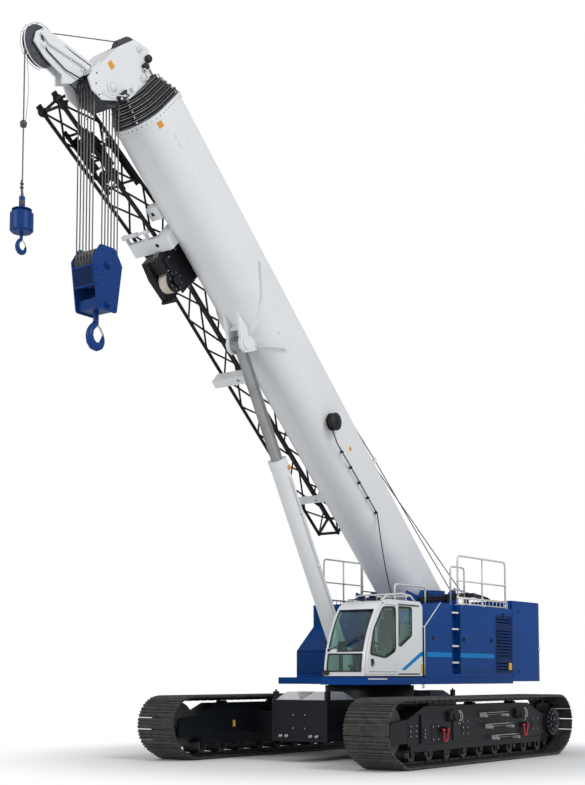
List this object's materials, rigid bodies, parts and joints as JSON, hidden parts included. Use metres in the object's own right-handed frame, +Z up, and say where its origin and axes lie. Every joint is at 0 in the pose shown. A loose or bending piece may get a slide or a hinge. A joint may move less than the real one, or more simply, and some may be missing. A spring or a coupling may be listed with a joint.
{
  "type": "telescopic crawler crane",
  "caption": "Crawler crane on two tracks with a slewing deck, side cab, tail weight, telescopic boom, stowed lattice jib, hook block and a light hook.",
  "frame": {"origin": "on the slewing axis at ground level", "axes": "+X forwards, +Y to the machine's left, +Z up"},
  "size_m": [14.335, 5.68, 12.1038],
  "materials": {
    "white_paint": "gloss white enamel",
    "blue_paint": "gloss deep blue enamel",
    "hook_blue": "satin royal blue enamel",
    "black_paint": "satin black paint",
    "frame_black": "dusty satin black paint",
    "shoe_steel": "dark worn steel",
    "weight_black": "satin black paint",
    "galvanised": "bright galvanised tube",
    "chrome": "hard chrome",
    "sheave_grey": "dark grey nylon",
    "wire_rope": "greased steel wire",
    "glass": "green tinted glass",
    "seat_cloth": "dark woven cloth",
    "cab_plastic": "grained dark plastic",
    "engine_steel": "painted cast iron",
    "red_paint": "gloss red enamel",
    "lamp_body": "black plastic with a clear lens"
  },
  "bodies": {
    "undercarriage": {"carbody": "frame_black", "carbody_weights": "weight_black", "crawler_frame_left": "frame_black", "crawler_frame_right": "frame_black", "track_left": "shoe_steel", "track_right": "shoe_steel", "running_wheels": "shoe_steel", "crawler_steps": "galvanised", "shackles": "red_paint"},
    "upper": {"deck_frame": "blue_paint", "housing_left": "blue_paint", "housing_right": "blue_paint", "housing_grilles": "blue_paint", "engine_block": "engine_steel", "counterweight": "blue_paint", "handrails": "galvanised", "ladder_rungs": "white_paint", "cab_shell": "white_paint", "cab_glass": "glass", "cab_seat": "seat_cloth", "cab_controls": "cab_plastic", "work_lamp": "lamp_body"},
    "cab_door": {"cab_door": "white_paint", "cab_door_glass": "glass"},
    "main_winch": {"main_winch": "black_paint"},
    "aux_winch": {"aux_winch": "black_paint"},
    "boom": {"boom_base": "white_paint", "jib_lattice": "black_paint", "jib_mounts": "white_paint", "jib_winch": "black_paint", "cable_reel": "black_paint"},
    "luff_rod": {"luff_rod": "chrome"},
    "luff_barrel": {"luff_barrel": "white_paint"},
    "section_2": {"boom_section_2": "black_paint"},
    "section_3": {"boom_section_3": "black_paint"},
    "section_4": {"boom_section_4": "black_paint"},
    "section_5": {"boom_section_5": "black_paint"},
    "section_6": {"boom_section_6": "black_paint", "boom_head": "white_paint", "aux_arm": "white_paint"},
    "head_sheaves": {"head_sheaves": "sheave_grey"},
    "top_sheaves": {"top_sheaves": "sheave_grey"},
    "aux_sheave": {"aux_sheave": "sheave_grey"},
    "main_hang": {"main_ropes": "wire_rope"},
    "hook_block": {"hook_block": "hook_blue"},
    "block_sheaves": {"block_sheaves": "sheave_grey"},
    "main_hook": {"main_hook": "hook_blue"},
    "aux_hang": {"aux_rope": "wire_rope"},
    "aux_weight": {"aux_weight": "hook_blue"},
    "aux_hook": {"aux_hook": "hook_blue"}
  },
  "joints": [
    {"name": "slew", "type": "hinge", "parent": "undercarriage", "child": "upper", "pos_m": [0, 0, 1.43], "axis": [0, 0, 1], "continuous": true},
    {"name": "door_slide", "type": "slide", "parent": "upper", "child": "cab_door", "axis": [-1, 0, 0], "range_m": [0, 0.75]},
    {"name": "main_winch_turn", "type": "hinge", "parent": "upper", "child": "main_winch", "pos_m": [-3.42, 0, 2.77], "axis": [0, 1, 0], "continuous": true},
    {"name": "aux_winch_turn", "type": "hinge", "parent": "upper", "child": "aux_winch", "pos_m": [-4.08, 0, 2.9], "axis": [0, 1, 0], "continuous": true},
    {"name": "boom_luff", "type": "hinge", "parent": "upper", "child": "boom", "pos_m": [-2.35, 0, 2.67], "axis": [0, -1, 0], "range_deg": [-42.67, 37.33]},
    {"name": "rod_swing", "type": "hinge", "parent": "boom", "child": "luff_rod", "pos_m": [4.23966, 0, 7.60058], "axis": [0, -1, 0], "range_deg": [-17.16, 15.03]},
    {"name": "barrel_slide", "type": "slide", "parent": "luff_rod", "child": "luff_barrel", "axis": [-0.499, 0, -0.8666], "range_m": [-1.7582, 1.5384]},
    {"name": "extend_2", "type": "slide", "parent": "boom", "child": "section_2", "axis": [0.7353, 0, 0.6778], "range_m": [0, 9.36]},
    {"name": "extend_3", "type": "slide", "parent": "section_2", "child": "section_3", "axis": [0.7353, 0, 0.6778], "range_m": [0, 9.36]},
    {"name": "extend_4", "type": "slide", "parent": "section_3", "child": "section_4", "axis": [0.7353, 0, 0.6778], "range_m": [0, 9.36]},
    {"name": "extend_5", "type": "slide", "parent": "section_4", "child": "section_5", "axis": [0.7353, 0, 0.6778], "range_m": [0, 9.36]},
    {"name": "extend_6", "type": "slide", "parent": "section_5", "child": "section_6", "axis": [0.7353, 0, 0.6778], "range_m": [0, 9.36]},
    {"name": "head_sheaves_turn", "type": "hinge", "parent": "section_6", "child": "head_sheaves", "pos_m": [7.85, 0, 10.97], "axis": [0, 1, 0], "continuous": true},
    {"name": "top_sheaves_turn", "type": "hinge", "parent": "section_6", "child": "top_sheaves", "pos_m": [7.24551, 0, 11.8688], "axis": [0, 1, 0], "continuous": true},
    {"name": "aux_sheave_turn", "type": "hinge", "parent": "section_6", "child": "aux_sheave", "pos_m": [9.13, 0, 11.22], "axis": [0, 1, 0], "continuous": true},
    {"name": "main_fall_swing", "type": "hinge", "parent": "section_6", "child": "main_hang", "pos_m": [7.85, 0, 10.97], "axis": [0, 1, 0], "range_deg": [-42.77, 37.43]},
    {"name": "main_hoist", "type": "slide", "parent": "main_hang", "child": "hook_block", "axis": [0, 0, 1], "range_m": [-6.7, 2], "deforming": ["main_ropes"]},
    {"name": "block_sheaves_turn", "type": "hinge", "parent": "hook_block", "child": "block_sheaves", "pos_m": [7.85, 0, 8.08], "axis": [0, 1, 0], "continuous": true},
    {"name": "main_hook_swivel", "type": "hinge", "parent": "hook_block", "child": "main_hook", "pos_m": [7.85, 0, 7.53], "axis": [0, 0, 1], "continuous": true},
    {"name": "aux_fall_swing", "type": "hinge", "parent": "section_6", "child": "aux_hang", "pos_m": [9.13, 0, 11.22], "axis": [0, 1, 0], "range_deg": [-42.77, 37.43]},
    {"name": "aux_hoist", "type": "slide", "parent": "aux_hang", "child": "aux_weight", "axis": [0, 0, 1], "range_m": [-7.8, 1.8], "deforming": ["aux_rope"]},
    {"name": "aux_hook_swivel", "type": "hinge", "parent": "aux_weight", "child": "aux_hook", "pos_m": [9.42, 0, 8.21], "axis": [0, 0, 1], "continuous": true}
  ],
  "couplings": [
    {"joint": "rod_swing", "follows": "boom_luff", "ratio": 0.39987},
    {"joint": "barrel_slide", "follows": "boom_luff", "m_per_rad": 2.3582},
    {"joint": "main_fall_swing", "follows": "boom_luff", "ratio": 1},
    {"joint": "aux_fall_swing", "follows": "boom_luff", "ratio": 1},
    {"joint": "extend_3", "follows": "extend_2", "ratio": 1},
    {"joint": "extend_4", "follows": "extend_2", "ratio": 1},
    {"joint": "extend_5", "follows": "extend_2", "ratio": 1},
    {"joint": "extend_6", "follows": "extend_2", "ratio": 1}
  ]
}
